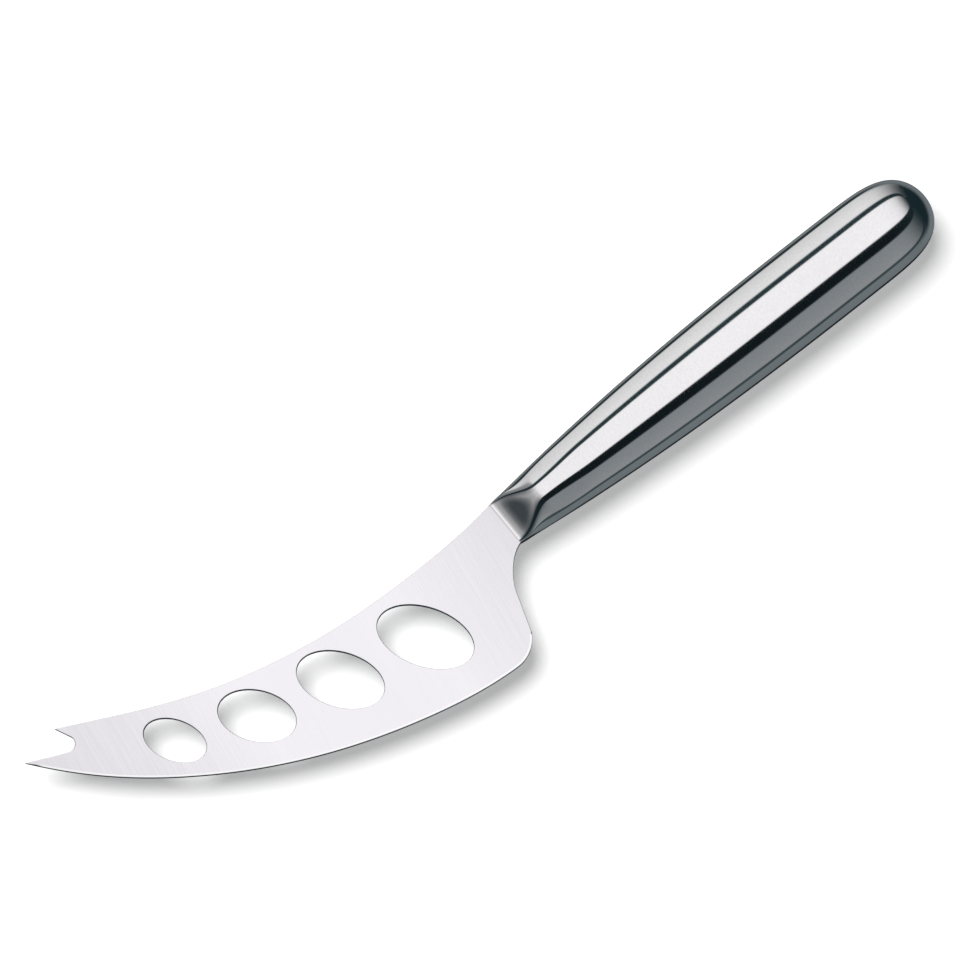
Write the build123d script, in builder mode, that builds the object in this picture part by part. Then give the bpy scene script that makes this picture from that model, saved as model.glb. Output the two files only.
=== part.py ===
"""A soft cheese knife: a forked, pierced steel blade held by its tang in a hollow steel handle."""
import os
from math import cos, pi, sin, sqrt

from build123d import *

# The origin is the middle of the shoulder, where the blade meets the handle, half way through the sheet.
# +X runs back along the handle, +Y to the spine of the blade, and +Z out of the face that shows.

# Blade sheet
blade_thickness = 1.5
shoulder_width = 11.4

# Spine, from the shoulder to the upper prong
spine_low = (-20.0, 4.15)
spine_middle = (-52.6, 6.2)
spine_rise = (-81.2, 13.75)
upper_prong_tip = (-108.9, 26.55)
spine_start_direction = (-1.0, -0.16)
spine_end_direction = (-1.0, 0.48)

# Fork between the two prongs
lower_prong_tip = (-118.8, 24.5)
fork_root = (-104.9, 18.2)
fork_root_radius = 1.9

# Cutting edge, from the lower prong to the rounded heel
edge_front = (-107.5, 11.9)
edge_middle = (-90.0, -2.2)
edge_belly = (-65.8, -15.6)
edge_rear = (-40.9, -24.1)
heel_start = (-18.4, -27.65)
heel_end = (-10.9, -23.1)
edge_start_direction = (0.62, -0.78)
edge_end_direction = (1.0, -0.03)

# Back of the heel, up to the shoulder
heel_top = (-8.0, -14.4)
neck_middle = (-5.2, -9.5)
neck_start_direction = (0.3, 0.95)
neck_end_direction = (1.0, 0.3)

# Holes: centre, length, width and the slant of the length from +X
blade_holes = [
    ((-30.5, -9.15), 22.9, 13.5, 122.0),
    ((-51.6, -4.85), 20.5, 12.5, 124.5),
    ((-71.45, 0.4), 18.1, 11.6, 127.5),
    ((-89.3, 7.55), 14.9, 9.2, 121.0),
]

# Shallow ground bevels along the cutting edge, one on each face
bevel_width = 0.5
edge_thickness = 1.34
bevel_drop = (blade_thickness - edge_thickness) / 2

# Tang inside the handle, with a step on every side where the blade stops against the handle
tang_step = 1.4
tang_face_step = 0.15
tang_width = shoulder_width - 2 * tang_step
tang_thickness = blade_thickness - 2 * tang_face_step
tang_tip_width = 6.0
tang_length = 34.0
tang_clearance = 0.05

# Handle, in half sizes along its length
handle_length = 125.0
handle_wall = 0.9
front_half_width = shoulder_width / 2
belly_half_width = 10.77
belly_half_thickness = 8.2
belly_place = 98.0
width_growth = 2.45
throat_half_thickness = 5.2
thickness_growth = 1.9
pommel_roundness = 5.0

# Front of the handle: a thin lip, then a hollow-ground ramp that is steepest near the lip
lip_half_thickness = blade_thickness / 2 + handle_wall
lip_length = 0.3
ramp_length = 10.2
ramp_lean = 0.8
crease_length = 24.0
solid_throat_length = 6.0

# Section of the handle: flat and square at the lip, six soft sides in the throat, nearly oval in the barrel
front_flat_share = 0.97
barrel_flat_share = 0.42
front_sharpness = 9.0
barrel_sharpness = 2.15

# Sections that carry the handle's surface: even steps up the ramp, then each step longer than the last
section_points = 40
ramp_sections = 10
step_growth = 1.25
longest_step = 6.0
pommel_sections = 12
pommel_flat_depth = 0.02


def eased(share):
    """Goes smoothly from 0 to 1 while share does."""
    held = min(max(share, 0.0), 1.0)
    return held * held * (3.0 - 2.0 * held)


def fullness(x):
    """Share of the belly's size that the pommel still has at x."""
    behind = max(x - belly_place, 0.0) / (handle_length - belly_place)
    return sqrt(max(1.0 - behind**pommel_roundness, 0.0))


def grown(front, belly, growth, x):
    """Half size at x of a barrel that grows from its front to its belly and rounds off behind it."""
    ahead = max(1.0 - x / belly_place, 0.0)
    return (belly - (belly - front) * ahead**growth) * fullness(x)


def half_width(x):
    """Half width of the handle at x."""
    return grown(front_half_width, belly_half_width, width_growth, x)


def half_thickness(x):
    """Half thickness of the handle at x, which starts at the lip and climbs the ramp."""
    barrel = grown(throat_half_thickness, belly_half_thickness, thickness_growth, x)
    climb = eased((max(x - lip_length, 0.0) / ramp_length) ** ramp_lean)
    return lip_half_thickness + (barrel - lip_half_thickness) * climb


def section_outline(x, inset):
    """Points round the handle's section at x, drawn in by inset."""
    width = half_width(x) - inset
    thickness = half_thickness(x) - inset
    flat = front_flat_share + (barrel_flat_share - front_flat_share) * eased(x / ramp_length)
    fade = eased(sqrt(x / crease_length))
    power = front_sharpness + (barrel_sharpness - front_sharpness) * fade
    slope = 1.0 - flat
    top = thickness * (1.0 + 2.0 * slope**power) ** (1.0 / power)
    side = width * 2.0 ** (1.0 / power)
    points = []
    for step in range(section_points):
        turn = 2.0 * pi * step / section_points
        across = width * cos(turn)
        up = thickness * sin(turn)
        lean = slope * up / top
        sides = (up / top, across / side + lean, across / side - lean)
        reach = sum(abs(distance) ** power for distance in sides)
        scale = reach ** (-1.0 / power)
        points.append((across * scale, up * scale))
    return points


def section_places(start, end):
    """Places of the handle's sections from start to end."""
    ramp_end = lip_length + ramp_length
    step = ramp_end / ramp_sections
    places = [start]
    while places[-1] + step < belly_place - step / 2:
        places.append(places[-1] + step)
        if places[-1] > ramp_end:
            step = min(step * step_growth, longest_step)
    turns = [pi / 2 * count / pommel_sections for count in range(pommel_sections + 1)]
    return places + [belly_place + (end - belly_place) * sin(turn) for turn in turns]


def handle_body(start, end, inset):
    """Solid through the handle's sections from start to end, drawn in by inset."""
    with BuildPart() as body:
        for place in section_places(start, end):
            with BuildSketch(Plane.YZ.offset(place)):
                with BuildLine():
                    Spline(*section_outline(place, inset), periodic=True)
                make_face()
        loft(ruled=True)
    return body.part


# Blade: one stamped sheet with its tang, pierced, forked and ground along the cutting edge
with BuildPart() as blade:
    with BuildSketch() as blade_sketch:
        with BuildLine():
            Spline(
                (0, shoulder_width / 2),
                spine_low,
                spine_middle,
                spine_rise,
                upper_prong_tip,
                tangents=[spine_start_direction, spine_end_direction],
            )
            Polyline(upper_prong_tip, fork_root, lower_prong_tip)
            Spline(
                lower_prong_tip,
                edge_front,
                edge_middle,
                edge_belly,
                edge_rear,
                heel_start,
                tangents=[edge_start_direction, edge_end_direction],
            )
            TangentArc(heel_start, heel_end, tangent=edge_end_direction)
            Line(heel_end, heel_top)
            Spline(
                heel_top,
                neck_middle,
                (0, -shoulder_width / 2),
                tangents=[neck_start_direction, neck_end_direction],
            )
            Line((0, -shoulder_width / 2), (0, shoulder_width / 2))
        make_face()
        fillet(blade_sketch.vertices().sort_by_distance(fork_root)[0], radius=fork_root_radius)
        for centre, length, width, slant in blade_holes:
            with Locations(Location(centre, slant)):
                Ellipse(length / 2, width / 2, mode=Mode.SUBTRACT)
    extrude(amount=blade_thickness / 2, both=True)
    with BuildSketch():
        with BuildLine():
            Polyline(
                (0, tang_width / 2),
                (tang_length, tang_tip_width / 2),
                (tang_length, -tang_tip_width / 2),
                (0, -tang_width / 2),
                close=True,
            )
        make_face()
    extrude(amount=tang_thickness / 2, both=True)
    cutting_edge = blade_sketch.edges().sort_by_distance(edge_belly)[0]
    heel_round = blade_sketch.edges().filter_by(GeomType.CIRCLE).sort_by_distance(heel_start)[0]
    run_in = Vector(*edge_start_direction).normalized() * bevel_width
    lead = Line(Vector(*lower_prong_tip) - run_in, lower_prong_tip, mode=Mode.PRIVATE)
    grinding_path = Wire([lead, cutting_edge, heel_round])
    with BuildSketch(Plane(grinding_path @ 0, x_dir=(0, 0, 1), z_dir=grinding_path % 0)):
        with BuildLine():
            Polyline(
                (blade_thickness / 2, -bevel_width),
                (edge_thickness / 2, 0),
                (edge_thickness / 2 - bevel_drop, bevel_width),
                (blade_thickness, bevel_width),
                (blade_thickness, -bevel_width),
                close=True,
            )
        make_face()
        mirror(about=Plane.YZ)
    sweep(path=grinding_path, mode=Mode.SUBTRACT)
blade.part.label = "blade"

# Handle: a hollow shell with a slot through its throat for the tang
outer_body = handle_body(0, handle_length - pommel_flat_depth, 0)
hollow = handle_body(solid_throat_length, handle_length - handle_wall, handle_wall)
with BuildPart() as handle:
    add(outer_body)
    add(hollow, mode=Mode.SUBTRACT)
    with BuildSketch(Plane.YZ):
        Rectangle(tang_width + 2 * tang_clearance, tang_thickness + 2 * tang_clearance)
    extrude(amount=solid_throat_length + handle_wall, mode=Mode.SUBTRACT)
handle.part.label = "handle"

os.makedirs("parts", exist_ok=True)
export_step(blade.part, "parts/blade.step")
export_step(handle.part, "parts/handle.step")
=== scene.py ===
"""A soft cheese knife on a pale floor: a pierced, forked satin blade in a polished hollow handle."""
import math

import bmesh
import bpy
import numpy as np
from mathutils import Matrix, Vector
from mathutils.geometry import tessellate_polygon


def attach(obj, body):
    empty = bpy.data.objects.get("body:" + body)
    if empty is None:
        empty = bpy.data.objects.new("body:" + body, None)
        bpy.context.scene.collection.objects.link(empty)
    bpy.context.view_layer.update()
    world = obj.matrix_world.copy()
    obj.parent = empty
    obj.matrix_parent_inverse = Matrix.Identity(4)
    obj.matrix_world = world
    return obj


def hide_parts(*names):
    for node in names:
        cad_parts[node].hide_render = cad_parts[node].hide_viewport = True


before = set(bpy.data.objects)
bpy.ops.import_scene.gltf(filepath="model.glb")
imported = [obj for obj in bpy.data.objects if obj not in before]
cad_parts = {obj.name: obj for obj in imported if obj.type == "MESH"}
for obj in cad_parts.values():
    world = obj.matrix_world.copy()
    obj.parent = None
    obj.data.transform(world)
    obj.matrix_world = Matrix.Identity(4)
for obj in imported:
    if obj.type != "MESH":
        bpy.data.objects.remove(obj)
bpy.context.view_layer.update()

# All sizes are in millimetres and are turned into metres where a mesh or a light is made.
MM = 0.001

# Blade sheet, from the shoulder at X 0 to the prongs
BLADE_THICKNESS = 1.5
SHOULDER_WIDTH = 11.4
SPINE = [(0.0, SHOULDER_WIDTH / 2), (-20.0, 4.15), (-52.6, 6.2), (-81.2, 13.75), (-108.9, 26.55)]
SPINE_START = (-1.0, -0.16)
SPINE_END = (-1.0, 0.48)
FORK_ROOT = (-104.9, 18.2)
FORK_ROOT_RADIUS = 1.9
CUTTING_EDGE = [
    (-118.8, 24.5),
    (-107.5, 11.9),
    (-90.0, -2.2),
    (-65.8, -15.6),
    (-40.9, -24.1),
    (-18.4, -27.65),
]
EDGE_START = (0.62, -0.78)
EDGE_END = (1.0, -0.03)
HEEL_END = (-10.9, -23.1)
NECK = [(-8.0, -14.4), (-5.2, -9.5), (0.0, -SHOULDER_WIDTH / 2)]
NECK_START = (0.3, 0.95)
NECK_END = (1.0, 0.3)

# Holes: centre, length, width and the slant of the length from +X
HOLES = [
    ((-30.5, -9.15), 22.9, 13.5, 122.0),
    ((-51.6, -4.85), 20.5, 12.5, 124.5),
    ((-71.45, 0.4), 18.1, 11.6, 127.5),
    ((-89.3, 7.55), 14.9, 9.2, 121.0),
]

# Points of the outline: how far apart they are on its curves, and how many its arcs and holes have
SPINE_SPACING = 1.0
EDGE_SPACING = 0.8
NECK_SPACING = 0.5
FORK_ROOT_STEPS = 16
HEEL_STEPS = 22
HOLE_POINTS = 120
# Nearer than this to the tip of a prong there is no other point, because the arris turns sharply there.
TIP_GAP = 1.6

# Ground bevel, with the lengths over which it starts and ends, and the rounded arris of the other edges
BEVEL_WIDTH = 0.5
EDGE_THICKNESS = 1.42
BEVEL_RUN_IN = 2.0
BEVEL_RUN_OUT = 1.0
ARRIS = 0.15
ARRIS_STEPS = 6
BLADE_CREASE_ANGLE = 20.0

# Tang
TANG_STEP = 1.4
TANG_FACE_STEP = 0.15
TANG_WIDTH = SHOULDER_WIDTH - 2 * TANG_STEP
TANG_THICKNESS = BLADE_THICKNESS - 2 * TANG_FACE_STEP
TANG_TIP_WIDTH = 6.0
TANG_LENGTH = 34.0
TANG_CLEARANCE = 0.05

# How far inside its solid the skin of each piece stands
SKIN_INSET = 0.01

# Handle, in half sizes along its length
HANDLE_LENGTH = 125.0
HANDLE_WALL = 0.9
FRONT_HALF_WIDTH = SHOULDER_WIDTH / 2
BELLY_HALF_WIDTH = 10.77
BELLY_HALF_THICKNESS = 8.2
BELLY_PLACE = 98.0
WIDTH_GROWTH = 2.45
THROAT_HALF_THICKNESS = 5.2
THICKNESS_GROWTH = 1.9
POMMEL_ROUNDNESS = 5.0
POMMEL_FLAT_DEPTH = 0.02

# Front of the handle: a thin lip, a hollow-ground ramp and a solid throat
LIP_HALF_THICKNESS = BLADE_THICKNESS / 2 + HANDLE_WALL
LIP_LENGTH = 0.3
RAMP_LENGTH = 10.2
RAMP_LEAN = 0.8
CREASE_LENGTH = 24.0
THROAT_LENGTH = 6.0

# Section of the handle: flat and square at the lip, six soft sides in the throat, nearly oval in the barrel
FRONT_FLAT_SHARE = 0.97
BARREL_FLAT_SHARE = 0.42
FRONT_SHARPNESS = 9.0
BARREL_SHARPNESS = 2.15

# Grids of the handle: points round it, stations along it, and the share along it where each run ends
POINTS_ROUND = 176
OUTSIDE_STATIONS = 301
HOLLOW_STATIONS = 121
THROAT_STATIONS = 4
RAMP_END = 0.34
BARREL_END = 0.70
POMMEL_END = 0.98
LAST_STATION = 0.9999
SLOT_FRONT = 0.1
SLOT_MIDDLE = 0.5
SLOT_BACK = 0.9
MERGE_DISTANCE = 0.002
HANDLE_CREASE_ANGLE = 32.0

# Satin grind, from the prongs to the shoulder: how light it is, with painted shade that darkens it towards
# the prongs and the shoulder, and how deep its lines look
GRIND_LENGTH = 120.0
BLADE_TONE_AND_PAINTED_SHADE = [
    (0.0, 0.79),
    (0.2, 0.84),
    (0.4, 0.93),
    (0.75, 0.93),
    (0.85, 0.87),
    (0.92, 0.84),
    (1.0, 0.79),
]
GRIND_DEPTH = [(0.0, 0.26), (0.25, 0.24), (0.45, 0.09), (0.7, 0.09), (0.88, 0.18), (1.0, 0.22)]
GRIND_TINT = (1.0, 0.992, 1.02)
BEVEL_TONE = (1.0, 1.0, 1.0)

# Lines of the grind: ripples a metre along each axis, how many layers, and the strength of the finer ones
FINE_LINES = ((3200, 70, 3200), 3.0, 0.6)
BROAD_LINES = ((700, 14, 700), 2.0, 0.5)
BLADE_CLOUD = ((34, 14, 34), 1.0, 0.4)
GRIND_TURN = -8.5

# What the lines do to the tone, the roughness and the height of the blade's surface
FINE_LINE_SHARE = 0.9
BROAD_LINE_SHARE = 0.25
BLADE_CLOUD_SHARE = 0.10
GRIND_ROUGHNESS = 0.20
FINE_LINE_ROUGHNESS = 0.10
BLADE_CLOUD_ROUGHNESS = 0.05
BEVEL_ROUGHNESS = 0.05
FINE_LINE_HEIGHT = 0.7
BROAD_LINE_HEIGHT = 0.3
GRIND_BUMP = 0.10
GRIND_BUMP_HEIGHT = 0.02

# Polish of the handle, in the same terms
POLISH_TONE = 0.85
POLISH_TINT = (1.0, 1.003, 1.003)
HAIRLINES = ((2200, 1300, 1300), 3.0, 0.6)
HAND_HAZE = ((28, 60, 60), 2.0, 0.5)
HAIRLINE_SHARE = 0.17
HAZE_SHARE = 0.08
POLISH_ROUGHNESS = 0.07
HAIRLINE_ROUGHNESS = 0.05
HAZE_ROUGHNESS = 0.03
POLISH_BUMP = 0.02
POLISH_BUMP_HEIGHT = 0.01

# Camera, as in the photograph
CAMERA_LENS = 147.65
CAMERA_SENSOR = 36.0
CAMERA_DISTANCE = 900.0
CAMERA_ELEVATION = 77.0
CAMERA_TARGET = (2.02, 11.85, 0.0)
CAMERA_REACH = 20000.0
PICTURE_RIGHT = (0.7806, -0.6250, 0.0)
PICTURE_UP = (0.6250, 0.7806, 0.0)

# Tone of the studio at each angle round the handle's axis, 0 straight up and more at the cutting edge
HALF_TURN = 180
FULL_TURN = 360
STUDIO_BANDS = [
    # Dark under the spine's side
    (-180, (0.012, 0.016, 0.018)),
    (-152, (0.012, 0.016, 0.018)),
    # Low grey panel
    (-146, (0.20, 0.215, 0.22)),
    (-124, (0.22, 0.235, 0.24)),
    # Gap
    (-119, (0.02, 0.035, 0.04)),
    (-105, (0.02, 0.035, 0.04)),
    # Bright panel at the spine's side
    (-101, (0.70, 0.70, 0.70)),
    (-54, (0.86, 0.85, 0.86)),
    # Gap
    (-51, (0.02, 0.04, 0.045)),
    (-42, (0.02, 0.04, 0.045)),
    # Softbox overhead
    (-40, (1.00, 0.98, 1.00)),
    (12, (1.00, 0.98, 1.00)),
    # Black flag
    (14, (0.006, 0.010, 0.012)),
    (34, (0.006, 0.010, 0.012)),
    # Grey panel at the cutting edge's side
    (36, (0.22, 0.245, 0.26)),
    (84, (0.28, 0.29, 0.30)),
    # Gap
    (88, (0.04, 0.06, 0.065)),
    (95, (0.04, 0.06, 0.065)),
    # Low grey panel
    (99, (0.165, 0.19, 0.205)),
    (146, (0.15, 0.175, 0.19)),
    # Dark under the cutting edge's side
    (152, (0.012, 0.016, 0.018)),
]

# The softbox narrows to a rounded end towards the pommel, where its spine side first spreads.
SOFTBOX_MIDDLE = -13.5
SOFTBOX_HALF_WIDTH = 27.0
SOFTBOX_END = 0.80
SOFTBOX_EDGE_ROUNDNESS = 5.0
SOFTBOX_SPINE_ROUNDNESS = 12.0
SOFTBOX_SPREAD = 16.0

# Share of each tone that is left at each angle towards the pommel's end
SOFTBOX_FADE = [(20, 1.0), (28, 0.94), (34, 0.84), (39, 0.66), (45, 0.34), (50, 0.10), (54, 0.0)]
PANEL_FADE = [(18, 1.0), (25, 0.88), (30, 0.70), (36, 0.48), (43, 0.24), (52, 0.06), (60, 0.0)]

# Share of each tone that is left at each angle towards the neck's end
SOFTBOX_NECK_FADE = [
    (-3, 1.0),
    (5, 0.93),
    (14, 0.66),
    (20, 0.56),
    (26, 0.44),
    (35, 0.34),
    (40, 0.19),
    (44, 0.11),
    (48, 0.04),
]
PANEL_NECK_FADE = [
    (-3, 1.0),
    (4, 0.85),
    (10, 0.58),
    (16, 0.36),
    (22, 0.21),
    (30, 0.11),
    (40, 0.04),
    (48, 0.0),
]
FLANK_NECK_FADE = [
    (-3, 1.0),
    (0, 0.90),
    (1.5, 0.62),
    (3, 0.42),
    (5, 0.32),
    (10, 0.28),
    (22, 0.20),
    (30, 0.11),
    (48, 0.0),
]

# Where one fade gives way to another, in degrees from the softbox's middle and round the handle's axis
SOFTBOX_BORDER = (26.0, 28.0)
SOFTBOX_CORE = (10.0, 24.0)
FLANK_BORDER = (-52.0, -48.0)

# Tones past the ends of the bands, and the run along, below and above the knife over which they come in
END_TONE = (0.010, 0.022, 0.027)
RIM_TONE = (0.16, 0.185, 0.20)
RIM_ALONG = (0.30, 0.55)
RIM_BELOW = (0.05, 0.35)
NECK_WALL_TONE = (0.55, 0.56, 0.57)
NECK_WALL_ALONG = (0.80, 0.92)
NECK_WALL_ABOVE = (-0.10, 0.10)

# Floor, which rises by a few tenths of a degree towards the prongs
FLOOR_REACH = 3000.0
FLOOR_GAP = 0.05
FLOOR_LEAN = 0.3
FLOOR_GLOW = 0.42
FLOOR_GLOW_TONE = (1.0, 1.0, 1.0, 1.0)
FLOOR_GRAIN = 900.0
FLOOR_TONES = [(0.3, (0.88, 0.88, 0.885)), (0.7, (0.90, 0.90, 0.905))]
FLOOR_ROUGHNESS = 0.9

# Soft light over the spine's side, with its power in watts
KEY_PLACE = (-100.0, 455.0, 1000.0)
KEY_SIZE = 880.0
KEY_POWER = 13.6


def between(first, second, share):
    """Goes straight from the first value to the second as share goes from 0 to 1."""
    return first + (second - first) * share


class Wire:
    """A node's output socket that adds a node of its tree's maths for every sign it meets."""

    def __init__(self, tree, socket):
        self.tree = tree
        self.socket = socket

    def maths(self, operation, *values, clamp=False):
        return self.tree.node("ShaderNodeMath", {"operation": operation, "use_clamp": clamp}, values)

    def __add__(self, other):
        return self.maths("ADD", self, other)

    def __radd__(self, other):
        return self.maths("ADD", other, self)

    def __sub__(self, other):
        return self.maths("SUBTRACT", self, other)

    def __rsub__(self, other):
        return self.maths("SUBTRACT", other, self)

    def __mul__(self, other):
        return self.maths("MULTIPLY", self, other)

    def __rmul__(self, other):
        return self.maths("MULTIPLY", other, self)

    def __truediv__(self, other):
        return self.maths("DIVIDE", self, other)

    def __rtruediv__(self, other):
        return self.maths("DIVIDE", other, self)

    def __pow__(self, other):
        return self.maths("POWER", self, other)

    def __rpow__(self, other):
        return self.maths("POWER", other, self)

    def __neg__(self):
        return self.maths("MULTIPLY", self, -1.0)

    def __abs__(self):
        return self.maths("ABSOLUTE", self)

    def over(self, other):
        """1 where this is more than other, else 0."""
        return self.maths("GREATER_THAN", self, other)

    def larger(self, other):
        return self.maths("MAXIMUM", self, other)

    def held(self):
        """This, held between 0 and 1."""
        return self.maths("ADD", self, 0.0, clamp=True)

    def rising(self, start, end):
        """0 before start and 1 after end, with a straight rise between them."""
        return ((self - start) / (end - start)).held()

    def falling(self, start, end):
        """1 before start and 0 after end, with a straight fall between them."""
        return 1.0 - self.rising(start, end)

    def eased(self):
        """Goes smoothly from 0 to 1 while this does."""
        share = self.held()
        return share * share * (3.0 - 2.0 * share)

    def sine(self):
        return self.maths("SINE", self)

    def cosine(self):
        return self.maths("COSINE", self)

    def root(self):
        return self.maths("SQRT", self)

    def axes(self):
        """The X, Y and Z of this vector."""
        split = self.tree.node("ShaderNodeSeparateXYZ", None, [self])
        return [Wire(self.tree, output) for output in split.socket.node.outputs]


class Tree:
    """A node tree that is written with one method for any node."""

    def __init__(self, tree):
        self.tree = tree

    def node(self, kind, settings=None, values=(), output=0):
        """Adds a node with its settings and its sockets' values or links, and gives one of its outputs."""
        made = self.tree.nodes.new(kind)
        for name, value in (settings or {}).items():
            if name == "stops":
                self.fill(made.color_ramp, value)
            else:
                setattr(made, name, value)
        pairs = values.items() if isinstance(values, dict) else enumerate(values)
        for name, value in pairs:
            wires = value if isinstance(value, list) else [value]
            if isinstance(wires[0], Wire):
                for wire in wires:
                    self.feed(made, name, wire)
            else:
                made.inputs[name].default_value = value
        return Wire(self, made.outputs[output]) if made.outputs else made

    def fill(self, bar, stops):
        """Gives a colour ramp's bar its stops of place and colour."""
        while len(bar.elements) < len(stops):
            bar.elements.new(1.0)
        for element, (place, colour) in zip(bar.elements, stops):
            element.position = place
            element.color = (*colour, 1.0)

    def feed(self, made, name, wire):
        """Links a wire to a node's input."""
        self.tree.links.new(wire.socket, made.inputs[name])

    def ramp(self, share, stops):
        """A colour ramp over share, with stops of place and colour."""
        return self.node("ShaderNodeValToRGB", {"stops": stops}, [share], "Color")

    def levels(self, share, stops):
        """A ramp over share of one number, with stops of place and number."""
        return self.ramp(share, [(place, (level,) * 3) for place, level in stops])

    def mixed(self, share, first, second):
        """A colour that goes from the first to the second as share goes from 0 to 1."""
        ends = [value if isinstance(value, Wire) else (*value, 1.0) for value in (first, second)]
        sockets = {"Factor": share, "A": ends[0], "B": ends[1]}
        return self.node("ShaderNodeMix", {"data_type": "RGBA"}, sockets, "Result")

    def tinted(self, tone, tint):
        """A colour of one tone in a tint."""
        return self.node("ShaderNodeCombineColor", None, [tone * part for part in tint])

    def noise(self, place, ripples, layers, strength, turn=0.0):
        """Noise about 0 in layers of ripples, on coordinates turned about Z by some degrees."""
        turned = {"Vector": place, "Rotation": (0, 0, math.radians(turn))}
        rotated = self.node("ShaderNodeMapping", {"vector_type": "TEXTURE"}, turned)
        scaled = self.node("ShaderNodeMapping", None, {"Vector": rotated, "Scale": ripples})
        sockets = {"Vector": scaled, "Scale": 1.0, "Detail": layers, "Roughness": strength}
        return self.node("ShaderNodeTexNoise", None, sockets) - 0.5

    def bump(self, height, strength, distance):
        """A normal that follows a height."""
        sockets = {"Height": height, "Strength": strength, "Distance": distance * MM}
        return self.node("ShaderNodeBump", None, sockets, "Normal")


def smooth_curve(points, start, end, spacing):
    """Points along the smoothest curve through points, which leaves and arrives in the given directions."""
    knots = np.array(points, float)
    spans = np.linalg.norm(np.diff(knots, axis=0), axis=1)
    count = len(knots)
    system = np.eye(count)
    slopes = np.zeros((count, 2))
    slopes[0] = np.array(start) / np.linalg.norm(start)
    slopes[-1] = np.array(end) / np.linalg.norm(end)
    for row in range(1, count - 1):
        before, after = spans[row - 1], spans[row]
        system[row, row - 1:row + 2] = (1 / before, 2 / before + 2 / after, 1 / after)
        rise = (knots[row] - knots[row - 1]) / before**2 + (knots[row + 1] - knots[row]) / after**2
        slopes[row] = 3 * rise
    slopes = np.linalg.solve(system, slopes)
    curve = []
    for row, span in enumerate(spans):
        steps = max(2, int(round(span / spacing)))
        for share in np.arange(steps) / steps:
            square, cube = share**2, share**3
            place = (2 * cube - 3 * square + 1) * knots[row] + (3 * square - 2 * cube) * knots[row + 1]
            lean = (cube - 2 * square + share) * slopes[row] + (cube - square) * slopes[row + 1]
            curve.append(place + span * lean)
    curve.append(knots[-1])
    return np.array(curve)


def arc_between(start, direction, end, steps):
    """Points of the arc that leaves start in a direction and reaches end."""
    start, end = np.array(start), np.array(end)
    along = np.array(direction) / np.linalg.norm(direction)
    left = np.array((-along[1], along[0]))
    chord = end - start
    radius = chord @ chord / (2 * (chord @ left))
    centre = start + left * radius
    first = math.atan2(*(start - centre)[::-1])
    last = math.atan2(*(end - centre)[::-1])
    turn = (last - first) % (2 * math.pi)
    turn = turn if radius > 0 else turn - 2 * math.pi
    angles = first + turn * np.arange(steps + 1) / steps
    return centre + abs(radius) * np.column_stack((np.cos(angles), np.sin(angles)))


def rounded_corner(before, corner, after, radius, steps):
    """Points of the arc of a radius that rounds a corner between two straight runs."""
    corner = np.array(corner)
    back = np.array(before) - corner
    ahead = np.array(after) - corner
    back = back / np.linalg.norm(back)
    ahead = ahead / np.linalg.norm(ahead)
    half = math.acos(back @ ahead) / 2
    middle = (back + ahead) / np.linalg.norm(back + ahead)
    centre = corner + middle * radius / math.sin(half)
    first = corner + back * radius / math.tan(half) - centre
    last = corner + ahead * radius / math.tan(half) - centre
    shares = np.arange(steps + 1) / steps
    spread = math.pi - 2 * half
    weights = np.column_stack((np.sin((1 - shares) * spread), np.sin(shares * spread))) / math.sin(spread)
    return centre + weights @ np.array((first, last))


def clear_of(tip, points):
    """The points that are not too near to the tip of a prong."""
    return points[np.linalg.norm(points - tip, axis=1) > TIP_GAP]


def blade_outline():
    """Points round the sheet, and how far each is ground: 0 on a plain arris, 1 on the full bevel."""
    upper_tip = np.array([SPINE[-1]])
    lower_tip = np.array([CUTTING_EDGE[0]])
    spine = clear_of(upper_tip, smooth_curve(SPINE, SPINE_START, SPINE_END, SPINE_SPACING))
    fork = rounded_corner(SPINE[-1], FORK_ROOT, CUTTING_EDGE[0], FORK_ROOT_RADIUS, FORK_ROOT_STEPS)
    edge = clear_of(lower_tip, smooth_curve(CUTTING_EDGE, EDGE_START, EDGE_END, EDGE_SPACING))
    heel = arc_between(CUTTING_EDGE[-1], EDGE_END, HEEL_END, HEEL_STEPS)
    neck = smooth_curve(NECK, NECK_START, NECK_END, NECK_SPACING)
    ground = np.vstack((edge, heel[1:]))
    lengths = np.concatenate(((0.0,), np.cumsum(np.linalg.norm(np.diff(ground, axis=0), axis=1))))
    run_in = np.clip(lengths / BEVEL_RUN_IN, 0, 1)
    run_out = np.clip((lengths[-1] - lengths) / BEVEL_RUN_OUT, 0, 1)
    amount = np.minimum(run_in, run_out)
    runs = [(spine, 0.0), (upper_tip, 0.0), (fork, 0.0), (lower_tip, 0.0), (ground, amount), (neck, 0.0)]
    points = np.vstack([run for run, share in runs])
    shares = np.concatenate([np.zeros(len(run)) + share for run, share in runs])
    return points, shares


def hole_outline(centre, length, width, slant):
    """Points round an elliptical hole, with the metal on the left of the way round."""
    turns = -2 * math.pi * np.arange(HOLE_POINTS) / HOLE_POINTS
    along = np.array((math.cos(math.radians(slant)), math.sin(math.radians(slant))))
    across = np.array((-along[1], along[0]))
    lengthwise = np.outer(np.cos(turns) * length / 2, along)
    widthwise = np.outer(np.sin(turns) * width / 2, across)
    return np.array(centre) + lengthwise + widthwise


def inward(points):
    """For each point of a closed outline, the step into the metal that moves both its sides by 1."""
    ahead = np.roll(points, -1, axis=0) - points
    ahead = ahead / np.linalg.norm(ahead, axis=1)[:, None]
    behind = np.roll(ahead, 1, axis=0)
    left = np.column_stack((-ahead[:, 1], ahead[:, 0])) + np.column_stack((-behind[:, 1], behind[:, 0]))
    share = 1 + (ahead * behind).sum(axis=1)
    return left / share[:, None]


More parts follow.
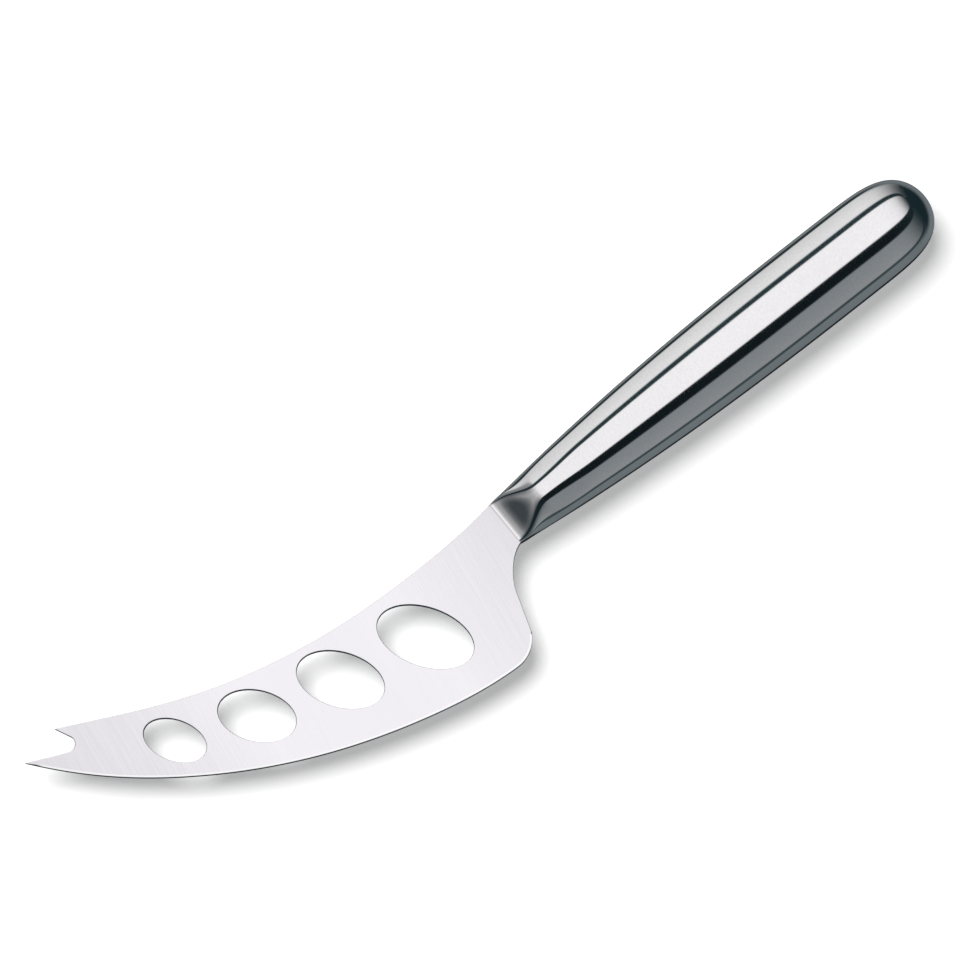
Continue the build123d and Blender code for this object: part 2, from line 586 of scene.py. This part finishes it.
def blade_rings(points, steps_in, shares):
    """Rings of points down one side of the sheet, from the top face round the arris to the bottom face."""
    half = BLADE_THICKNESS / 2
    upper = []
    for step in range(ARRIS_STEPS + 1):
        share = step / ARRIS_STEPS
        turn = math.pi / 2 * share
        reach = between(ARRIS * (1 - math.cos(turn)), BEVEL_WIDTH * share, shares)
        round_height = half - ARRIS * (1 - math.sin(turn))
        ground_height = between(EDGE_THICKNESS / 2, half, share)
        height = between(round_height, ground_height, shares)
        upper.append(np.column_stack((points + steps_in * reach[:, None], height)))
    lower = [ring * (1, 1, -1) for ring in upper]
    return upper[::-1] + lower


def add_sheet(mesh):
    """Adds the pierced sheet with its bevels and arrises, whose faces the attribute ground marks with 1."""
    points, shares = blade_outline()
    steps_in = inward(points)
    at_shoulder = np.isclose(points[:, 0], 0.0)
    sides = np.sign(points[at_shoulder, 1])
    steps_in[at_shoulder] = np.column_stack((0 * sides, -sides))
    points = points + steps_in * SKIN_INSET
    loops = [(points, steps_in, shares)]
    for hole in HOLES:
        ring = hole_outline(*hole)
        loops.append((ring, inward(ring), np.zeros(len(ring))))

    ground = mesh.faces.layers.float.new("ground")
    tops, bottoms = [], []
    for ring, step, share in loops:
        rings = blade_rings(ring, step, share)
        rows = [[mesh.verts.new(Vector(place) * MM) for place in row] for row in rings]
        for row, below in zip(rows, rows[1:]):
            for place in range(len(row)):
                after = (place + 1) % len(row)
                face = mesh.faces.new((row[place], below[place], below[after], row[after]))
                face[ground] = 1.0
        tops.append(rows[0])
        bottoms.append(rows[-1])
    for rows, turned in ((tops, False), (bottoms, True)):
        flat = [corner for row in rows for corner in row]
        for triangle in tessellate_polygon([[corner.co for corner in row] for row in rows]):
            face = mesh.faces.new([flat[place] for place in triangle])
            face.normal_update()
            if (face.normal.z < 0) != turned:
                face.normal_flip()
    crease(mesh, BLADE_CREASE_ANGLE)
    for row in tops + bottoms:
        for place, corner in enumerate(row):
            mesh.edges.get((corner, row[(place + 1) % len(row)])).smooth = False


def add_tang(mesh):
    """Adds the tang, which tapers from just before the shoulder to its tip inside the handle."""
    corners = []
    for height in (-TANG_THICKNESS / 2, TANG_THICKNESS / 2):
        for place, width in ((-TANG_CLEARANCE, TANG_WIDTH), (TANG_LENGTH, TANG_TIP_WIDTH)):
            for side in (-1, 1):
                corners.append(mesh.verts.new(Vector((place, side * width / 2, height)) * MM))
    sides = ((0, 1, 3, 2), (4, 6, 7, 5), (0, 4, 5, 1), (2, 3, 7, 6), (0, 2, 6, 4), (1, 5, 7, 3))
    for side in sides:
        face = mesh.faces.new([corners[place] for place in side])
        for edge in face.edges:
            edge.smooth = False


def crease(mesh, angle):
    """Leaves an edge smooth only where its two faces meet at less than an angle in degrees."""
    for edge in mesh.edges:
        edge.smooth = len(edge.link_faces) == 2 and edge.calc_face_angle() < math.radians(angle)


def plain_piece(name, mesh, material):
    """A piece at the origin from a finished mesh."""
    data = bpy.data.meshes.new(name)
    mesh.to_mesh(data)
    mesh.free()
    data.materials.append(material)
    piece = bpy.data.objects.new(name, data)
    bpy.context.scene.collection.objects.link(piece)
    return piece


def make_blade(material):
    """The pierced sheet and the tang behind it, as one mesh."""
    mesh = bmesh.new()
    add_sheet(mesh)
    add_tang(mesh)
    mesh.normal_update()
    for face in mesh.faces:
        face.smooth = True
    return plain_piece("knife_blade", mesh, material)


def handle_tree(material):
    """Geometry nodes that bend three grids into the handle: outside, hollow and slotted throat."""
    group = bpy.data.node_groups.new("hollow handle", "GeometryNodeTree")
    sizes = {
        "Length": HANDLE_LENGTH - POMMEL_FLAT_DEPTH - SKIN_INSET,
        "Wall": HANDLE_WALL,
        "Front Half Width": FRONT_HALF_WIDTH,
        "Belly Half Width": BELLY_HALF_WIDTH,
        "Belly Half Thickness": BELLY_HALF_THICKNESS,
        "Throat Half Thickness": THROAT_HALF_THICKNESS,
        "Lip Half Thickness": LIP_HALF_THICKNESS,
        "Lip Length": LIP_LENGTH,
        "Ramp Length": RAMP_LENGTH,
        "Belly Place": BELLY_PLACE,
    }
    for name in sizes:
        group.interface.new_socket(name, in_out="INPUT", socket_type="NodeSocketFloat")
    group.interface.new_socket("Geometry", in_out="OUTPUT", socket_type="NodeSocketGeometry")
    tree = Tree(group)
    entry = tree.node("NodeGroupInput").socket.node
    size = {name: Wire(tree, entry.outputs[name]) for name in sizes}

    def fullness(place):
        """Share of the belly's size that the pommel still has at a place."""
        behind = (place - size["Belly Place"]).larger(0.0) / (HANDLE_LENGTH - size["Belly Place"])
        return (1.0 - behind**POMMEL_ROUNDNESS).larger(0.0).root()

    def grown(front, belly, growth, place):
        """Half size of a barrel that grows from its front to its belly and rounds off behind it."""
        ahead = (1.0 - place / size["Belly Place"]).larger(0.0)
        return between(belly, front, ahead**growth) * fullness(place)

    def section(place, turn, inset):
        """How far across and up the section at place stands at a turn."""
        width = grown(size["Front Half Width"], size["Belly Half Width"], WIDTH_GROWTH, place) - inset
        barrel = grown(size["Throat Half Thickness"], size["Belly Half Thickness"], THICKNESS_GROWTH, place)
        climb = (((place - size["Lip Length"]).larger(0.0) / size["Ramp Length"]) ** RAMP_LEAN).eased()
        thickness = between(size["Lip Half Thickness"], barrel, climb) - inset
        flat = between(FRONT_FLAT_SHARE, BARREL_FLAT_SHARE, (place / size["Ramp Length"]).eased())
        fade = (place.larger(0.0) / CREASE_LENGTH).root().eased()
        power = between(FRONT_SHARPNESS, BARREL_SHARPNESS, fade)
        slope = 1.0 - flat
        top = thickness * (1.0 + 2.0 * slope**power) ** (1.0 / power)
        side = width * 2.0 ** (1.0 / power)
        across = width * turn.cosine()
        up = thickness * turn.sine()
        lean = slope * up / top
        distances = (up / top, across / side + lean, across / side - lean)
        reach = sum(abs(distance) ** power for distance in distances)
        scale = reach ** (-1.0 / power)
        return across * scale, up * scale

    def grid(stations):
        """A flat grid, with each point's share along it and its turn round the handle."""
        values = {"Size X": 1.0, "Size Y": 1.0, "Vertices X": stations, "Vertices Y": POINTS_ROUND + 1}
        flat = tree.node("GeometryNodeMeshGrid", None, values)
        along, round_share = tree.node("GeometryNodeInputPosition").axes()[:2]
        return flat, along + 0.5, (round_share + 0.5) * (2.0 * math.pi)

    def placed(flat, place, across, up):
        """The grid with its points moved to where they belong on the handle."""
        target = tree.node("ShaderNodeCombineXYZ", None, [place * MM, across * MM, up * MM])
        return tree.node("GeometryNodeSetPosition", None, {"Geometry": flat, "Position": target})

    def shell(stations, start, end, inset):
        """The surface at an inset from start to end, closed at its end."""
        flat, along, turn = grid(stations)
        ramp_end = size["Lip Length"] + size["Ramp Length"]
        rounding = (along.rising(BARREL_END, POMMEL_END) * (math.pi / 2)).sine()
        place = start + (ramp_end - start) * along.rising(0.0, RAMP_END)
        place = place + (size["Belly Place"] - ramp_end) * along.rising(RAMP_END, BARREL_END)
        place = place + (end - size["Belly Place"]) * rounding
        across, up = section(place, turn, inset)
        open_share = 1.0 - along.over(LAST_STATION)
        return placed(flat, place, across * open_share, up * open_share)

    def throat():
        """The front of the lip, the slot for the tang and the front of the hollow."""
        flat, along, turn = grid(THROAT_STATIONS)
        deep = along.over(SLOT_MIDDLE)
        in_slot = along.over(SLOT_FRONT) * (1.0 - along.over(SLOT_BACK))
        place = deep * THROAT_LENGTH
        across, up = section(place, turn, between(SKIN_INSET, size["Wall"], deep))
        square = abs(turn.cosine()).larger(abs(turn.sine()))
        slot_across = turn.cosine() / square * (TANG_WIDTH / 2 + TANG_CLEARANCE)
        slot_up = turn.sine() / square * (TANG_THICKNESS / 2 + TANG_CLEARANCE)
        across = between(across, slot_across, in_slot)
        up = between(up, slot_up, in_slot)
        return placed(flat, place, across, up)

    outside = shell(OUTSIDE_STATIONS, 0.0, size["Length"], SKIN_INSET)
    hollow = shell(HOLLOW_STATIONS, THROAT_LENGTH, HANDLE_LENGTH - size["Wall"], size["Wall"])
    insides = [tree.node("GeometryNodeFlipFaces", None, {"Mesh": inside}) for inside in (throat(), hollow)]
    joined = tree.node("GeometryNodeJoinGeometry", None, {"Geometry": [*insides, outside]})
    seams = {"Geometry": joined, "Distance": MERGE_DISTANCE * MM}
    merged = tree.node("GeometryNodeMergeByDistance", None, seams)
    real = tree.node("GeometryNodeRealizeInstances", None, {"Geometry": merged})
    coated = tree.node("GeometryNodeSetMaterial", None, {"Geometry": real, "Material": material})
    tree.node("NodeGroupOutput", None, {"Geometry": coated})
    return group, sizes


def make_handle(material):
    """The handle's mesh, taken from its geometry nodes, with crisp edges at the lip and the slot."""
    group, sizes = handle_tree(material)
    piece = bpy.data.objects.new("knife_handle", bpy.data.meshes.new("knife_handle"))
    bpy.context.scene.collection.objects.link(piece)
    modifier = piece.modifiers.new("hollow handle", "NODES")
    modifier.node_group = group
    for item in group.interface.items_tree:
        if item.in_out == "INPUT":
            modifier[item.identifier] = sizes[item.name]
    seen = piece.evaluated_get(bpy.context.evaluated_depsgraph_get())
    data = bpy.data.meshes.new_from_object(seen)
    piece.modifiers.clear()
    empty = piece.data
    piece.data = data
    bpy.data.meshes.remove(empty)
    data.name = "knife_handle"
    mesh = bmesh.new()
    mesh.from_mesh(data)
    crease(mesh, HANDLE_CREASE_ANGLE)
    for face in mesh.faces:
        face.smooth = True
    mesh.to_mesh(data)
    mesh.free()
    return piece


def steel(name, paint):
    """A steel material whose finish is painted by a function on its tree, shader and object coordinates."""
    material = bpy.data.materials.new(name)
    material.use_nodes = True
    tree = Tree(material.node_tree)
    shader = material.node_tree.nodes["Principled BSDF"]
    shader.inputs["Metallic"].default_value = 1.0
    paint(tree, shader, tree.node("ShaderNodeTexCoord", None, (), "Object"))
    return material


def satin(tree, shader, place):
    """Fine grinding lines across the blade, a tone with painted shade that is darker towards the tip and
    the neck, and bright bevels.
    """
    fine = tree.noise(place, *FINE_LINES, GRIND_TURN)
    broad = tree.noise(place, *BROAD_LINES, GRIND_TURN)
    cloud = tree.noise(place, *BLADE_CLOUD, GRIND_TURN)
    share = (place.axes()[0] / MM + GRIND_LENGTH) / GRIND_LENGTH
    # Painted shade: the blade's tone falls off towards the prongs and the shoulder
    level = tree.levels(share, BLADE_TONE_AND_PAINTED_SHADE)
    depth = tree.levels(share, GRIND_DEPTH)
    lines = (fine * FINE_LINE_SHARE + broad * BROAD_LINE_SHARE) * depth + cloud * BLADE_CLOUD_SHARE
    tone = level * (1.0 + lines)
    ground = tree.node("ShaderNodeAttribute", {"attribute_name": "ground"}, (), "Fac")
    tree.feed(shader, "Base Color", tree.mixed(ground, tree.tinted(tone, GRIND_TINT), BEVEL_TONE))
    roughness = GRIND_ROUGHNESS + fine * FINE_LINE_ROUGHNESS + cloud * BLADE_CLOUD_ROUGHNESS
    tree.feed(shader, "Roughness", between(roughness, BEVEL_ROUGHNESS, ground))
    height = fine * FINE_LINE_HEIGHT + broad * BROAD_LINE_HEIGHT
    tree.feed(shader, "Normal", tree.bump(height, GRIND_BUMP, GRIND_BUMP_HEIGHT))


def polish(tree, shader, place):
    """A bright polish over a fine grain, with a faint haze where a hand holds it."""
    fine = tree.noise(place, *HAIRLINES)
    haze = tree.noise(place, *HAND_HAZE)
    tone = POLISH_TONE + fine * HAIRLINE_SHARE + haze * HAZE_SHARE
    tree.feed(shader, "Base Color", tree.tinted(tone, POLISH_TINT))
    roughness = POLISH_ROUGHNESS + fine * HAIRLINE_ROUGHNESS + haze * HAZE_ROUGHNESS
    tree.feed(shader, "Roughness", roughness)
    tree.feed(shader, "Normal", tree.bump(fine, POLISH_BUMP, POLISH_BUMP_HEIGHT))


def closing(ahead, roundness):
    """How many degrees one side of the softbox has closed in at its rounded far end."""
    return (1.0 - (1.0 - (ahead / SOFTBOX_END) ** roundness).larger(0.0).root()) * SOFTBOX_HALF_WIDTH


def faded(tree, along, stops):
    """The share of a tone that is left along the handle's axis, from stops of angle and share."""
    lowest = math.sin(math.radians(stops[0][0]))
    spread = math.sin(math.radians(stops[-1][0])) - lowest
    places = [((math.sin(math.radians(angle)) - lowest) / spread, share) for angle, share in stops]
    return tree.levels((along - lowest) / spread, places)


def make_world():
    """Studio panels as bands round the handle's axis, from the floor over the top to the floor again."""
    world = bpy.data.worlds.new("studio")
    bpy.context.scene.world = world
    world.use_nodes = True
    world.cycles_visibility.diffuse = False
    tree = Tree(world.node_tree)
    along, across, upward = tree.node("ShaderNodeTexCoord", None, (), "Generated").axes()
    aside = -across
    angle = aside.maths("ARCTAN2", aside, upward) * math.degrees(1.0)
    ahead = along.larger(0.0)
    edge_close = closing(ahead, SOFTBOX_EDGE_ROUNDNESS)
    spine_close = closing(ahead, SOFTBOX_SPINE_ROUNDNESS) - ahead * ahead * SOFTBOX_SPREAD
    edge_side = angle.over(SOFTBOX_MIDDLE)
    bent = angle + edge_close * edge_side - spine_close * (1.0 - edge_side)
    stops = [((place + HALF_TURN) / FULL_TURN, tone) for place, tone in STUDIO_BANDS]
    bands = tree.ramp((bent + HALF_TURN) / FULL_TURN, stops)

    from_middle = abs(bent - SOFTBOX_MIDDLE)
    in_softbox = from_middle.falling(*SOFTBOX_BORDER)
    pommel_left = between(faded(tree, along, PANEL_FADE), faded(tree, along, SOFTBOX_FADE), in_softbox)
    panel_left = faded(tree, -along, PANEL_NECK_FADE)
    panel_left = between(panel_left, faded(tree, -along, FLANK_NECK_FADE), bent.falling(*FLANK_BORDER))
    in_core = from_middle.falling(*SOFTBOX_CORE)
    neck_left = between(panel_left, faded(tree, -along, SOFTBOX_NECK_FADE), in_core)
    colour = tree.mixed(pommel_left * neck_left, END_TONE, bands)

    under_pommel = along.rising(*RIM_ALONG) * (-upward).rising(*RIM_BELOW)
    colour = tree.mixed(under_pommel, colour, RIM_TONE)
    past_neck = (-along).rising(*NECK_WALL_ALONG) * upward.rising(*NECK_WALL_ABOVE)
    colour = tree.mixed(past_neck, colour, NECK_WALL_TONE)
    tree.feed(world.node_tree.nodes["Background"], "Color", colour)


def make_floor():
    """A pale, faintly lit table under the handle's belly."""
    corners = []
    for x, y in ((-1, -1), (1, -1), (1, 1), (-1, 1)):
        behind_belly = x * FLOOR_REACH - BELLY_PLACE
        drop = BELLY_HALF_THICKNESS + FLOOR_GAP + behind_belly * math.tan(math.radians(FLOOR_LEAN))
        corners.append(Vector((x * FLOOR_REACH, y * FLOOR_REACH, -drop)) * MM)
    mesh = bmesh.new()
    mesh.faces.new([mesh.verts.new(corner) for corner in corners])
    material = bpy.data.materials.new("pale floor")
    material.use_nodes = True
    tree = Tree(material.node_tree)
    shader = material.node_tree.nodes["Principled BSDF"]
    place = tree.node("ShaderNodeTexCoord", None, (), "Object")
    grain = tree.node("ShaderNodeTexNoise", None, {"Vector": place, "Scale": FLOOR_GRAIN})
    tree.feed(shader, "Base Color", tree.ramp(grain, FLOOR_TONES))
    shader.inputs["Roughness"].default_value = FLOOR_ROUGHNESS
    shader.inputs["Specular IOR Level"].default_value = 0.0
    shader.inputs["Emission Color"].default_value = FLOOR_GLOW_TONE
    shader.inputs["Emission Strength"].default_value = FLOOR_GLOW
    floor = plain_piece("studio_floor", mesh, material)
    floor.visible_glossy = False


def make_key_light():
    """A wide soft light over the spine's side, which the floor sees and the steel doesn't."""
    data = bpy.data.lights.new("spine side softbox", "AREA")
    data.shape = "DISK"
    data.size = KEY_SIZE * MM
    data.energy = KEY_POWER
    light = bpy.data.objects.new("spine side softbox", data)
    bpy.context.scene.collection.objects.link(light)
    light.location = Vector(KEY_PLACE) * MM
    light.rotation_euler = (-Vector(KEY_PLACE)).to_track_quat("-Z", "X").to_euler()
    light.visible_glossy = False


def make_camera():
    """The photograph's camera: a long lens nearly above the knife, tilted a little."""
    data = bpy.data.cameras.new("camera")
    data.lens = CAMERA_LENS
    data.sensor_width = CAMERA_SENSOR
    data.sensor_fit = "HORIZONTAL"
    data.clip_end = CAMERA_REACH * MM
    camera = bpy.data.objects.new("camera", data)
    bpy.context.scene.collection.objects.link(camera)
    lean = math.radians(CAMERA_ELEVATION)
    right = Vector(PICTURE_RIGHT).normalized()
    up = Vector(PICTURE_UP).normalized()
    behind = Vector((0, 0, math.sin(lean))) - up * math.cos(lean)
    top = behind.cross(right).normalized()
    turned = Matrix((right, top, behind)).transposed().to_4x4()
    place = Vector(CAMERA_TARGET) + behind * CAMERA_DISTANCE
    camera.matrix_world = Matrix.Translation(place * MM) @ turned
    bpy.context.scene.camera = camera


make_camera()
make_world()
make_floor()
make_key_light()

blade = make_blade(steel("satin blade steel", satin))
handle = make_handle(steel("polished handle steel", polish))
for piece, node, slot in ((blade, "blade", "blade_steel"), (handle, "handle", "handle_steel")):
    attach(piece, "root")
    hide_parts(node)

scene = bpy.context.scene
scene.view_settings.view_transform = "Standard"
scene.view_settings.look = "None"
